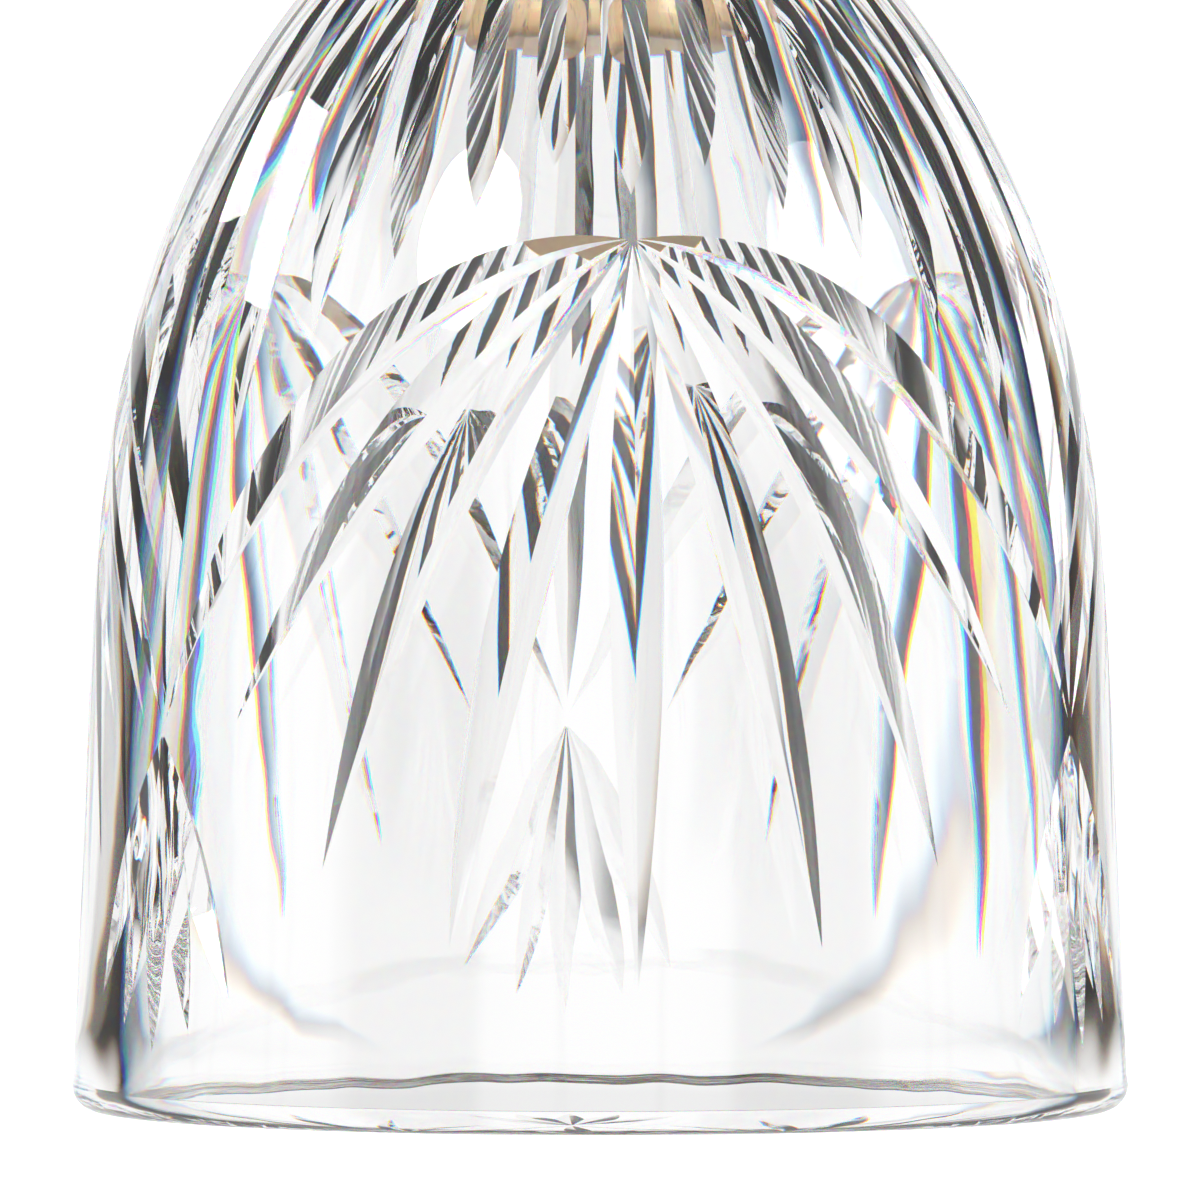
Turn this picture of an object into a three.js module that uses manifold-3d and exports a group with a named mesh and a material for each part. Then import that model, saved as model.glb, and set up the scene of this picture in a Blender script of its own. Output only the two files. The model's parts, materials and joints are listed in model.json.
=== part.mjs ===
// Cut-crystal hand bell with a turned beech handle, in millimetres and with +Z up.
// The origin is the centre of the rim plane, so the bell stands on z = 0.
// Angles round the bell are in degrees from -Y towards +X, and the middle of one large fan is at angle 0.
import * as THREE from 'three';
import { mergeVertices } from 'three/addons/utils/BufferGeometryUtils.js';
import Module from 'manifold-3d';

const wasm = await Module();
wasm.setup();

// ---- Glass: outer shape ----
const MOUTH_RADIUS = 37.8; // outer radius of the side, carried down to the rim plane
const SIDE_TAPER = 0.0427; // lean of the lower side, per millimetre of height
const SHOULDER_START = 29.3; // height where the side begins to turn in
const SHOULDER_TOP = 88; // height where the shoulder runs out into the neck's fillet
const SHOULDER_TOP_RADIUS = 14.2;
const SHOULDER_POWER = 2.864; // how late the shoulder turns in
const NECK_RADIUS = 11;
const NECK_RISE = 18; // from the shoulder's top to the neck's flat top
const NECK_EDGE = 0.8; // round on the neck's top edge
const WALL = 3.4; // glass thickness, square to the surface
const NECK_ROOF = 4; // glass over the hollow neck
const RIM_OUTER_ROUND = 1.8;
const RIM_INNER_ROUND = 0.4;

// ---- Glass: cuts ----
const CUT_HALF_ANGLE = 57; // each V cut, from its middle plane to a wall
const CUT_MARGIN = 0.7; // how far a cutting wedge stands out of the glass
const CUT_RUN_OUT = 0.05; // how far a wedge's keel is above the glass at its ends
const PANELS = 3;
const FAN_APEX_HEIGHT = 61.1;
const FAN_DEPTH = 1.25;
// One side of a large fan: where each curved cut is aimed and where it ends, as [angle, height].
const FAN_CUTS = [
  { aim: [0, 40], end: [0, 9.4] },
  { aim: [14, 40.5], end: [20.1, 12.1] },
  { aim: [22, 51], end: [35.1, 17.4] },
  { aim: [21.5, 57.2], end: [47.6, 27.6] },
  { aim: [35.5, 61.1], end: [60, 27.5] },
];
const SPRAY_TOP = 27.2; // height of the small fans' apexes, between the large fans
const SPRAY_DEPTH = 0.95;
const SPRAY_CUTS = [
  { spread: 0, end: 4.7 },
  { spread: 6.6, end: 6.4 },
  { spread: 13, end: 8.6 },
];
const FLUTES = 36;
const FLUTE_HALF_WIDTH = 1.75;
const FLUTE_LAND = 0.45; // uncut glass left between flutes where the neck narrows
const FLUTE_TOP_INSET = 2.5; // from the flutes' upper ends up to the shoulder's top
const FLUTE_FLATNESS = 2.6; // how evenly deep a flute stays along its length
// Height of each flute's lower tip, by its place from a large fan's middle (0) to a small fan's middle (6).
const FLUTE_TIPS = [64, 66, 63, 59.6, 54.4, 47, 28.5];

// ---- Tie rod and what it clamps ----
const ROD_RADIUS = 2;
const ROD_CLEARANCE = 0.2; // in every plain hole
const THREAD_GAP = 0.06; // in every threaded hole
const BUSH_WALL = 1;
const BUSH_GAP = 0.1; // between bush and glass
const INNER_WASHER_GAP = 0.2; // from the cork washer's edge to the round in the hollow neck's corner
const INNER_WASHER_HEIGHT = 1;
const INNER_PLATE_GAP = 0.7; // from the plate's edge to the hollow neck
const INNER_PLATE_HEIGHT = 1;
const SPRING_WASHER_RADIUS = 3.6;
const SPRING_WASHER_HEIGHT = 0.9;
const SPRING_WASHER_SLIT = 0.9;
const NUT_ACROSS_FLATS = 7;
const NUT_HEIGHT = 3.2;
const ROD_TAIL = 0.7; // plain rod below the nut, before the flat eye
const EYE_THICKNESS = 1.6;
const EYE_HOLE_RADIUS = 1.15;
const EYE_DROP = 3.1; // from the nut to the centre of the rod's eye

// ---- Handle ----
const CORK_HEIGHT = 1;
const CORK_INSET = 0.6; // cork's edge, in from the neck's edge
const FERRULE_RADIUS = 11;
const FERRULE_FOOT = 1.8;
const FERRULE_FLOOR = 2;
const FERRULE_HEIGHT = 8;
const FERRULE_TOP_RADIUS = 7.8;
const TENON_RADIUS = 5.6;
const TENON_CLEARANCE = 0.15;
const GRIP_FOOT_RADIUS = 7.6;
const GRIP_LENGTH = 30;
const GRIP_BELLY_RADIUS = 9;
const GRIP_WAIST_RADIUS = 5.2;
const COLLAR_RADIUS = 5.3;
const COLLAR_HEIGHT = 2.6;
const KNOB_RADIUS = 8.4;
const KNOB_HEIGHT = 15;
const KNOB_SEAT_RADIUS = 4.9;
const FINIAL_WASHER_RADIUS = 4.7;
const FINIAL_WASHER_HEIGHT = 0.8;
const FINIAL_RADIUS = 4.2;
const FINIAL_SKIRT = 1.8;
const FINIAL_HEIGHT = 5.5;
const FINIAL_CROWN = 1.5; // solid brass over the blind thread
const ROD_END_GAP = 0.4; // from the rod's end to the blind thread's end

// ---- Clapper ----
const RING_WIRE = 0.6;
const RING_RADIUS = 2.4;
const CLAPPER_EYE_WIRE = 0.6;
const CLAPPER_EYE_RADIUS = 1.9;
const LINK_PLAY = 0.15; // between the ring's wire and the clapper's eye
const SHANK_RADIUS = 0.9;
const SHANK_LENGTH = 6;
const WASHER_RADIUS = 2.6;
const WASHER_HEIGHT = 0.7;
const WASHER_GAP = 0.25; // under the clapper's eye
const BOB_TOP_RADIUS = 3;
const BOB_RADIUS = 9.8;
const BOB_HEIGHT = 8.5;
const BOB_WIDEST = 1.9; // height of the widest place over the bob's flat bottom
const BOB_EDGE = 0.9;

// ---- Facets ----
const BELL_SIDES = 36; // one corner under the middle of each flute
const SIDE_ROWS = 7;
const FAN_STEPS = 6;
const SPRAY_STEPS = 4;
const FLUTE_STEPS = 5;
const TURNED_SIDES = 32;
const ROD_SIDES = 24;
const WIRE_SIDES = 10;

// ---- Heights worked out from the sizes above ----
const neckTop = SHOULDER_TOP + NECK_RISE;
const ceiling = neckTop - NECK_ROOF;
const innerPlateTop = ceiling - INNER_WASHER_HEIGHT;
const springWasherTop = innerPlateTop - INNER_PLATE_HEIGHT;
const nutTop = springWasherTop - SPRING_WASHER_HEIGHT;
const nutBottom = nutTop - NUT_HEIGHT;
const eyeHeight = nutBottom - EYE_DROP;
const ferruleBottom = neckTop + CORK_HEIGHT;
const tenonBottom = ferruleBottom + FERRULE_FLOOR;
const gripBottom = ferruleBottom + FERRULE_HEIGHT;
const collarBottom = gripBottom + GRIP_LENGTH;
const knobBottom = collarBottom + COLLAR_HEIGHT;
const finialWasherBottom = knobBottom + KNOB_HEIGHT;
const finialBottom = finialWasherBottom + FINIAL_WASHER_HEIGHT;
const threadEnd = finialBottom + FINIAL_HEIGHT - FINIAL_CROWN;
const ringCentre = eyeHeight - RING_RADIUS;
const clapperPivot = ringCentre - RING_RADIUS + RING_WIRE + LINK_PLAY + CLAPPER_EYE_WIRE;
const clapperEyeCentre = clapperPivot - CLAPPER_EYE_RADIUS;
const washerTop = clapperEyeCentre - CLAPPER_EYE_RADIUS - CLAPPER_EYE_WIRE - WASHER_GAP;
const bobTop = washerTop - WASHER_HEIGHT;
const bobBottom = bobTop - BOB_HEIGHT;
const hollowRadius = NECK_RADIUS - WALL;
const plainHole = ROD_RADIUS + ROD_CLEARANCE;
const threadHole = ROD_RADIUS + THREAD_GAP;

// ---- Helpers ----
const degrees = THREE.MathUtils.degToRad;

// Points on a circular arc in the profile plane, from one angle to another.
function arc(radius, height, size, from, to, steps) {
  const points = [];
  for (let i = 0; i <= steps; i += 1) {
    const angle = degrees(from + ((to - from) * i) / steps);
    points.push([radius + size * Math.cos(angle), height + size * Math.sin(angle)]);
  }
  return points;
}

// A smooth outline through a few profile points.
function smooth(points, steps) {
  const curve = new THREE.SplineCurve(points.map(([r, z]) => new THREE.Vector2(r, z)));
  return curve.getPoints(steps).map((point) => [point.x, point.y]);
}

// Solid of revolution about Z, from an outline that runs up the outside and down the inside.
function turned(outline, sides) {
  const points = outline.map(([r, z]) => new THREE.Vector2(r, z));
  return new THREE.LatheGeometry(points, sides).rotateX(Math.PI / 2);
}

// Turned piece with a hole along its axis: the outer outline, closed down the hole.
function turnedRing(outer, hole, bottom, sides = TURNED_SIDES) {
  const top = outer[outer.length - 1][1];
  return turned([[hole, bottom], ...outer, [hole, top], [hole, bottom]], sides);
}

function disc(radius, hole, bottom, height) {
  return turnedRing([[radius, bottom], [radius, bottom + height]], hole, bottom);
}

function toSolid(geometry) {
  const bare = geometry.clone();
  bare.deleteAttribute('normal');
  bare.deleteAttribute('uv');
  const merged = mergeVertices(bare);
  const mesh = new wasm.Mesh({
    numProp: 3,
    vertProperties: new Float32Array(merged.attributes.position.array),
    triVerts: new Uint32Array(merged.index.array),
  });
  return new wasm.Manifold(mesh);
}

function toGeometry(solid) {
  const mesh = solid.getMesh();
  const geometry = new THREE.BufferGeometry();
  geometry.setAttribute('position', new THREE.BufferAttribute(new Float32Array(mesh.vertProperties), 3));
  geometry.setIndex(new THREE.BufferAttribute(new Uint32Array(mesh.triVerts), 1));
  return geometry;
}

function joined(...geometries) {
  return toGeometry(geometries.map(toSolid).reduce((whole, piece) => whole.add(piece)));
}

// ---- Glass surface ----
const shoulderDrop = MOUTH_RADIUS - SIDE_TAPER * SHOULDER_TOP - SHOULDER_TOP_RADIUS;
const shoulderRise = SHOULDER_TOP - SHOULDER_START;

function outerRadius(height) {
  const u = Math.max(0, height - SHOULDER_START) / shoulderRise;
  return MOUTH_RADIUS - SIDE_TAPER * height - shoulderDrop * u ** SHOULDER_POWER;
}

// How fast the side leans in, as radius lost per height.
function leanIn(height) {
  const u = Math.max(0, height - SHOULDER_START) / shoulderRise;
  return SIDE_TAPER + (shoulderDrop / shoulderRise) * SHOULDER_POWER * u ** (SHOULDER_POWER - 1);
}

function surfacePoint(angle, height) {
  const r = outerRadius(height);
  return new THREE.Vector3(r * Math.sin(degrees(angle)), -r * Math.cos(degrees(angle)), height);
}

function surfaceNormal(angle, height) {
  const a = degrees(angle);
  return new THREE.Vector3(Math.sin(a), -Math.cos(a), leanIn(height)).normalize();
}

// The neck's fillet meets the shoulder in one direction and turns upright at the neck's radius.
const filletTurn = THREE.MathUtils.radToDeg(Math.atan(leanIn(SHOULDER_TOP)));
const filletRadius = (SHOULDER_TOP_RADIUS - NECK_RADIUS) / (1 - Math.cos(degrees(filletTurn)));
const filletCentreRadius = NECK_RADIUS + filletRadius;
const filletTop = SHOULDER_TOP + filletRadius * Math.sin(degrees(filletTurn));

function blankOutline() {
  const sideHeights = [15, SHOULDER_START];
  for (let i = 1; i <= SIDE_ROWS; i += 1) {
    sideHeights.push(SHOULDER_START + shoulderRise * (i / SIDE_ROWS) ** 0.75);
  }
  const side = sideHeights.map((height) => [outerRadius(height), height]);
  const inner = sideHeights.map((height) => {
    const normal = surfaceNormal(0, height);
    return [outerRadius(height) + normal.y * WALL, height - normal.z * WALL];
  });
  const rimRadius = outerRadius(0);
  const mouth = rimRadius - WALL;
  const bore = plainHole + BUSH_WALL + BUSH_GAP;
  return [
    [mouth + RIM_INNER_ROUND, 0],
    ...arc(rimRadius - RIM_OUTER_ROUND, RIM_OUTER_ROUND, RIM_OUTER_ROUND, -90, 0, 4),
    ...side,
    ...arc(filletCentreRadius, filletTop, filletRadius, 180 + filletTurn, 180, 4).slice(1),
    ...arc(NECK_RADIUS - NECK_EDGE, neckTop - NECK_EDGE, NECK_EDGE, 0, 90, 2),
    [bore, neckTop],
    [bore, ceiling],
    ...arc(hollowRadius - NECK_EDGE, ceiling - NECK_EDGE, NECK_EDGE, 90, 0, 2),
    ...arc(filletCentreRadius, filletTop, filletRadius + WALL, 180, 180 + filletTurn, 4).slice(0, -1),
    ...inner.reverse(),
    [mouth, RIM_INNER_ROUND],
    [mouth + RIM_INNER_ROUND, 0],
  ];
}

// ---- Glass cuts ----
const wedgeSpread = Math.tan(degrees(CUT_HALF_ANGLE));

// A V-shaped wedge that follows a route over the glass.
// The route gives the angle, the height and the keel's depth at t = 0 to 1.
function wedge(route, steps) {
  const keels = [];
  const normals = [];
  let deepest = 0;
  for (let i = 0; i <= steps; i += 1) {
    const { angle, height, depth } = route(i / steps);
    const normal = surfaceNormal(angle, height);
    normals.push(normal);
    keels.push(surfacePoint(angle, height).addScaledVector(normal, -depth));
    deepest = Math.max(deepest, depth);
  }
  const tall = deepest + CUT_MARGIN;
  const positions = [];
  for (let i = 0; i <= steps; i += 1) {
    const along = keels[Math.min(i + 1, steps)].clone().sub(keels[Math.max(i - 1, 0)]);
    const across = along.cross(normals[i]).normalize();
    const top = keels[i].clone().addScaledVector(normals[i], tall);
    positions.push(...keels[i].toArray());
    positions.push(...top.clone().addScaledVector(across, tall * wedgeSpread).toArray());
    positions.push(...top.clone().addScaledVector(across, -tall * wedgeSpread).toArray());
  }
  const triangles = [0, 1, 2];
  for (let i = 0; i < steps; i += 1) {
    const near = 3 * i;
    const far = near + 3;
    for (const [p, q] of [[0, 1], [1, 2], [2, 0]]) {
      triangles.push(near + p, far + q, near + q, near + p, far + p, far + q);
    }
  }
  triangles.push(3 * steps, 3 * steps + 2, 3 * steps + 1);
  const geometry = new THREE.BufferGeometry();
  geometry.setAttribute('position', new THREE.Float32BufferAttribute(positions, 3));
  geometry.setIndex(triangles);
  return geometry;
}

// Depth along a cut that a round wheel leaves: nothing at both ends and deepest halfway.
function wheelDepth(t, deepest, flatness = 2) {
  return (deepest + CUT_RUN_OUT) * (1 - Math.abs(2 * t - 1) ** flatness) - CUT_RUN_OUT;
}

function bend(start, aim, end, t) {
  return (1 - t) ** 2 * start + 2 * t * (1 - t) * aim + t * t * end;
}

function fanCut(panelAngle, side, { aim, end }) {
  return wedge((t) => ({
    angle: panelAngle + side * bend(0, aim[0], end[0], t),
    height: bend(FAN_APEX_HEIGHT, aim[1], end[1], t),
    depth: wheelDepth(t, FAN_DEPTH),
  }), FAN_STEPS);
}

function sprayCut(panelAngle, side, { spread, end }) {
  return wedge((t) => ({
    angle: panelAngle + side * spread * t,
    height: SPRAY_TOP + (end - SPRAY_TOP) * t,
    depth: wheelDepth(t, SPRAY_DEPTH),
  }), SPRAY_STEPS);
}

function fluteCut(index) {
  const perPanel = FLUTES / PANELS;
  const place = index % perPanel;
  const tip = FLUTE_TIPS[Math.min(place, perPanel - place)];
  const rise = SHOULDER_TOP - FLUTE_TOP_INSET - tip;
  return wedge((t) => {
    const height = tip + rise * t;
    const halfPitch = (Math.PI * outerRadius(height)) / FLUTES;
    const halfWidth = Math.min(FLUTE_HALF_WIDTH, halfPitch - FLUTE_LAND / 2);
    return {
      angle: (360 / FLUTES) * index,
      height,
      depth: wheelDepth(t, halfWidth / wedgeSpread, FLUTE_FLATNESS),
    };
  }, FLUTE_STEPS);
}

function glassBell() {
  const wedges = [];
  for (let panel = 0; panel < PANELS; panel += 1) {
    const fanAngle = (360 / PANELS) * panel;
    const sprayAngle = fanAngle + 180 / PANELS;
    FAN_CUTS.forEach((cut, i) => {
      wedges.push(fanCut(fanAngle, 1, cut));
      if (i > 0) wedges.push(fanCut(fanAngle, -1, cut));
    });
    SPRAY_CUTS.forEach((cut, i) => {
      wedges.push(sprayCut(sprayAngle, 1, cut));
      if (i > 0) wedges.push(sprayCut(sprayAngle, -1, cut));
    });
  }
  for (let i = 0; i < FLUTES; i += 1) {
    wedges.push(fluteCut(i));
  }
  const blank = toSolid(turned(blankOutline(), BELL_SIDES));
  const cuts = wasm.Manifold.union(wedges.map(toSolid));
  return toGeometry(blank.subtract(cuts));
}

// ---- Fastening ----
function innerWasher() {
  const radius = hollowRadius - NECK_EDGE - INNER_WASHER_GAP;
  return disc(radius, plainHole, innerPlateTop, INNER_WASHER_HEIGHT);
}

function innerPlate() {
  return disc(hollowRadius - INNER_PLATE_GAP, plainHole, springWasherTop, INNER_PLATE_HEIGHT);
}

function boreBush() {
  const outside = plainHole + BUSH_WALL;
  return turnedRing([[outside, ceiling], [outside, neckTop]], plainHole, ceiling, ROD_SIDES);
}

function springWasher() {
  const slit = Math.asin(SPRING_WASHER_SLIT / 2 / SPRING_WASHER_RADIUS);
  const shape = new THREE.Shape();
  shape.absarc(0, 0, SPRING_WASHER_RADIUS, slit, 2 * Math.PI - slit, false);
  shape.absarc(0, 0, plainHole, 2 * Math.PI - slit, slit, true);
  const options = { depth: SPRING_WASHER_HEIGHT, bevelEnabled: false, curveSegments: 16 };
  return new THREE.ExtrudeGeometry(shape, options).translate(0, 0, nutTop);
}

function rodNut() {
  const shape = new THREE.Shape();
  const corner = NUT_ACROSS_FLATS / 2 / Math.cos(Math.PI / 6);
  for (let i = 0; i < 6; i += 1) {
    const angle = (Math.PI / 3) * i;
    const go = i === 0 ? 'moveTo' : 'lineTo';
    shape[go](corner * Math.cos(angle), corner * Math.sin(angle));
  }
  shape.closePath();
  shape.holes.push(new THREE.Path().absarc(0, 0, threadHole, 0, 2 * Math.PI, true));
  const options = { depth: NUT_HEIGHT, bevelEnabled: false, curveSegments: ROD_SIDES / 2 };
  return new THREE.ExtrudeGeometry(shape, options).translate(0, 0, nutBottom);
}

// Steel rod, flattened below the nut into an eye whose hole runs along X.
function tieRod() {
  const shankBottom = nutBottom - ROD_TAIL;
  const shankTop = threadEnd - ROD_END_GAP;
  const shank = turned([
    [0, shankBottom],
    [ROD_RADIUS - 0.3, shankBottom],
    [ROD_RADIUS, shankBottom + 0.3],
    [ROD_RADIUS, shankTop - 0.3],
    [ROD_RADIUS - 0.3, shankTop],
    [0, shankTop],
  ], ROD_SIDES);
  const halfWidth = ROD_RADIUS - 0.02;
  const flat = new THREE.Shape();
  flat.moveTo(halfWidth, shankBottom + 0.5);
  flat.lineTo(-halfWidth, shankBottom + 0.5);
  flat.absarc(0, eyeHeight, halfWidth, Math.PI, 2 * Math.PI, false);
  flat.closePath();
  flat.holes.push(new THREE.Path().absarc(0, eyeHeight, EYE_HOLE_RADIUS, 0, 2 * Math.PI, true));
  const options = { depth: EYE_THICKNESS, bevelEnabled: false, curveSegments: 12 };
  const eye = new THREE.ExtrudeGeometry(flat, options);
  eye.translate(0, 0, -EYE_THICKNESS / 2).rotateX(Math.PI / 2).rotateZ(Math.PI / 2);
  return joined(shank, eye);
}

// ---- Handle ----
function neckFerrule() {
  const recess = TENON_RADIUS + TENON_CLEARANCE;
  const top = ferruleBottom + FERRULE_HEIGHT;
  const waist = ferruleBottom + FERRULE_FOOT;
  const cove = (FERRULE_RADIUS - FERRULE_TOP_RADIUS) * 0.9;
  return turned([
    [plainHole, ferruleBottom],
    [FERRULE_RADIUS - 0.3, ferruleBottom],
    ...arc(FERRULE_RADIUS - FERRULE_FOOT / 2, ferruleBottom + FERRULE_FOOT / 2, FERRULE_FOOT / 2, -60, 90, 5),
    ...arc(FERRULE_TOP_RADIUS + cove, waist + cove, cove, -90, -180, 4),
    [FERRULE_TOP_RADIUS, top - 0.3],
    [FERRULE_TOP_RADIUS - 0.3, top],
    [recess, top],
    [recess, tenonBottom],
    [plainHole, tenonBottom],
    [plainHole, ferruleBottom],
  ], TURNED_SIDES);
}

function handleGrip() {
  const side = smooth([
    [GRIP_FOOT_RADIUS, gripBottom],
    [GRIP_BELLY_RADIUS, gripBottom + 0.36 * GRIP_LENGTH],
    [(GRIP_BELLY_RADIUS + GRIP_WAIST_RADIUS) / 2, gripBottom + 0.7 * GRIP_LENGTH],
    [GRIP_WAIST_RADIUS, collarBottom],
  ], 14);
  const tenon = [[TENON_RADIUS, tenonBottom], [TENON_RADIUS, gripBottom]];
  return turnedRing([...tenon, ...side], plainHole, tenonBottom);
}

function gripRing() {
  const half = COLLAR_HEIGHT / 2;
  const bead = arc(COLLAR_RADIUS, collarBottom + half, half, -90, 90, 6);
  return turnedRing(bead, plainHole, collarBottom);
}

function gripKnob() {
  const side = smooth([
    [KNOB_SEAT_RADIUS, knobBottom],
    [KNOB_RADIUS, knobBottom + 0.56 * KNOB_HEIGHT],
    [KNOB_SEAT_RADIUS, finialWasherBottom],
  ], 14);
  return turnedRing(side, plainHole, knobBottom);
}

function finialWasher() {
  return disc(FINIAL_WASHER_RADIUS, plainHole, finialWasherBottom, FINIAL_WASHER_HEIGHT);
}

function finialNut() {
  const skirtTop = finialBottom + FINIAL_SKIRT;
  const rise = FINIAL_HEIGHT - FINIAL_SKIRT;
  const dome = [];
  for (let i = 0; i <= 6; i += 1) {
    const angle = degrees(15 * i);
    dome.push([i === 6 ? 0 : FINIAL_RADIUS * Math.cos(angle), skirtTop + rise * Math.sin(angle)]);
  }
  return turned([
    [0, threadEnd],
    [threadHole, threadEnd],
    [threadHole, finialBottom],
    [FINIAL_RADIUS, finialBottom],
    ...dome,
  ], ROD_SIDES);
}

// ---- Clapper ----
// The ring stands in the XZ plane and passes through the rod's eye and the clapper's eye.
function hangerRing() {
  const ring = new THREE.TorusGeometry(RING_RADIUS, RING_WIRE, WIRE_SIDES, 32);
  return ring.rotateX(Math.PI / 2).translate(0, 0, ringCentre);
}

function clapperEye() {
  const eye = new THREE.TorusGeometry(CLAPPER_EYE_RADIUS, CLAPPER_EYE_WIRE, WIRE_SIDES, 28);
  eye.rotateY(Math.PI / 2).translate(0, 0, clapperEyeCentre);
  const top = clapperEyeCentre - CLAPPER_EYE_RADIUS;
  const end = bobTop - SHANK_LENGTH;
  const shank = turned([[0, end], [SHANK_RADIUS, end + 0.8], [SHANK_RADIUS, top], [0, top]], 16);
  return joined(eye, shank);
}

function clapperBob() {
  const hole = SHANK_RADIUS + THREAD_GAP;
  const holeEnd = bobTop - SHANK_LENGTH - ROD_END_GAP;
  const widest = bobBottom + BOB_WIDEST;
  const shoulder = smooth([
    [BOB_RADIUS, widest],
    [BOB_RADIUS * 0.9, widest + 0.36 * (bobTop - widest)],
    [(BOB_RADIUS + BOB_TOP_RADIUS) / 2.1, widest + 0.72 * (bobTop - widest)],
    [BOB_TOP_RADIUS, bobTop],
  ], 8);
  return turned([
    [0, bobBottom],
    ...arc(BOB_RADIUS - BOB_EDGE, bobBottom + BOB_EDGE, BOB_EDGE, -90, 0, 3),
    ...shoulder,
    [hole, bobTop],
    [hole, holeEnd],
    [0, holeEnd],
  ], TURNED_SIDES);
}

// ---- Finishes ----
const finishes = {
  crystal: { color: 0xf4f7f8, roughness: 0.02, metalness: 0, transparent: true, opacity: 0.35 },
  beech: { color: 0xd9b27c, roughness: 0.45, metalness: 0 },
  brass: { color: 0xc9a24a, roughness: 0.28, metalness: 1 },
  steel: { color: 0xb4b7ba, roughness: 0.35, metalness: 1 },
  cork: { color: 0xa97c50, roughness: 0.9, metalness: 0 },
  nylon: { color: 0xeceae2, roughness: 0.5, metalness: 0 },
};

const bell = new THREE.Group();

function place(name, geometry, finish) {
  const mesh = new THREE.Mesh(geometry, new THREE.MeshStandardMaterial(finishes[finish]));
  mesh.name = name;
  bell.add(mesh);
}

place('glass_bell', glassBell(), 'crystal');
place('neck_washer', disc(NECK_RADIUS - CORK_INSET, plainHole, neckTop, CORK_HEIGHT), 'cork');
place('neck_ferrule', neckFerrule(), 'brass');
place('handle_grip', handleGrip(), 'beech');
place('grip_ring', gripRing(), 'brass');
place('grip_knob', gripKnob(), 'beech');
place('finial_washer', finialWasher(), 'brass');
place('finial_nut', finialNut(), 'brass');
place('tie_rod', tieRod(), 'steel');
place('bore_bush', boreBush(), 'nylon');
place('inner_washer', innerWasher(), 'cork');
place('inner_plate', innerPlate(), 'brass');
place('spring_washer', springWasher(), 'steel');
place('rod_nut', rodNut(), 'brass');
place('hanger_ring', hangerRing(), 'brass');
place('clapper_eye', clapperEye(), 'brass');
place('clapper_washer', disc(WASHER_RADIUS, SHANK_RADIUS + THREAD_GAP, bobTop, WASHER_HEIGHT), 'brass');
place('clapper_bob', clapperBob(), 'beech');

export default bell;
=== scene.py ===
# %% [markdown]
# # A cut-crystal hand bell
#
# This lesson dresses a packed bell: a body of clear crystal cut with fans and upright flutes, a turned
# beech handle with brass fittings, and a beech clapper that swings on a brass ring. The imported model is
# the frame. It gives every piece its place and its body, so nothing here is fitted by eye.

# %% Load the frame
import json
import math
from bisect import bisect_right

import bmesh
import bpy
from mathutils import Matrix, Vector

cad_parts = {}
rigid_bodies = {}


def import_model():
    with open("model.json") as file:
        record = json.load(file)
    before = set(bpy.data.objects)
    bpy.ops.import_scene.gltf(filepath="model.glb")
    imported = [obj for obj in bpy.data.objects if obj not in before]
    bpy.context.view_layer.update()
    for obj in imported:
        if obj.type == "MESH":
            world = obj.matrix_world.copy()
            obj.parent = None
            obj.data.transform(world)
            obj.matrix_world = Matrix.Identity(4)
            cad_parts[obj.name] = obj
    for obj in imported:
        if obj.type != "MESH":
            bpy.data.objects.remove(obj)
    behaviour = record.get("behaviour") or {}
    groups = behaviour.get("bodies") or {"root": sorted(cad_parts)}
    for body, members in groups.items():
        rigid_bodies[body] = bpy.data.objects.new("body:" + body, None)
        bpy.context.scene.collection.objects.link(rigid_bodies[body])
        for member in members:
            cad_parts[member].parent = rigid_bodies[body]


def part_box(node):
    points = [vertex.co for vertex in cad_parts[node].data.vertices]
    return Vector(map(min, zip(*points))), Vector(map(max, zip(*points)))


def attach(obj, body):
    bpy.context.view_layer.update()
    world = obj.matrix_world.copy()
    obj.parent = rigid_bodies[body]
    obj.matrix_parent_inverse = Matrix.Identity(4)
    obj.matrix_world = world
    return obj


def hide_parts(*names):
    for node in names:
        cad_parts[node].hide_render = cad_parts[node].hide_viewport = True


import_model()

scene = bpy.context.scene
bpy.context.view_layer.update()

# %% [markdown]
# ## The sizes that drive the glass
#
# A glass maker would work from a section drawing: a side that leans in a little, a shoulder that turns in
# late, a neck, and one wall thickness. These are the same sizes as the frame's, in metres.

# %% Sizes of the glass
MM = 0.001
MOUTH_RADIUS = 37.8 * MM
SIDE_TAPER = 0.0427
SHOULDER_START = 29.3 * MM
SHOULDER_TOP = 88 * MM
SHOULDER_TOP_RADIUS = 14.2 * MM
SHOULDER_POWER = 2.864
NECK_RADIUS = 11 * MM
NECK_EDGE = 0.8 * MM
WALL = 3.4 * MM
NECK_ROOF = 4 * MM
RIM_OUTER_ROUND = 1.8 * MM
RIM_INNER_ROUND = 0.4 * MM
ROD_RADIUS = 2 * MM
ROD_CLEARANCE = 0.2 * MM
BUSH_WALL = 1 * MM
BUSH_GAP = 0.1 * MM

neck_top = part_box("glass_bell")[1].z
ceiling = neck_top - NECK_ROOF
plain_hole = ROD_RADIUS + ROD_CLEARANCE
bore = plain_hole + BUSH_WALL + BUSH_GAP
shoulder_rise = SHOULDER_TOP - SHOULDER_START
shoulder_drop = MOUTH_RADIUS - SIDE_TAPER * SHOULDER_TOP - SHOULDER_TOP_RADIUS
print(f"the glass stands {neck_top / MM:.1f} mm high on a mouth {2 * MOUTH_RADIUS / MM:.1f} mm across")

# %% [markdown]
# ## The outer surface as a rule
#
# The side is a cone up to the shoulder's start, and from there a power curve takes radius away. Having it
# as a formula, and its lean as the formula's slope, lets the cuts and the shading use the very same
# surface.

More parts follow.
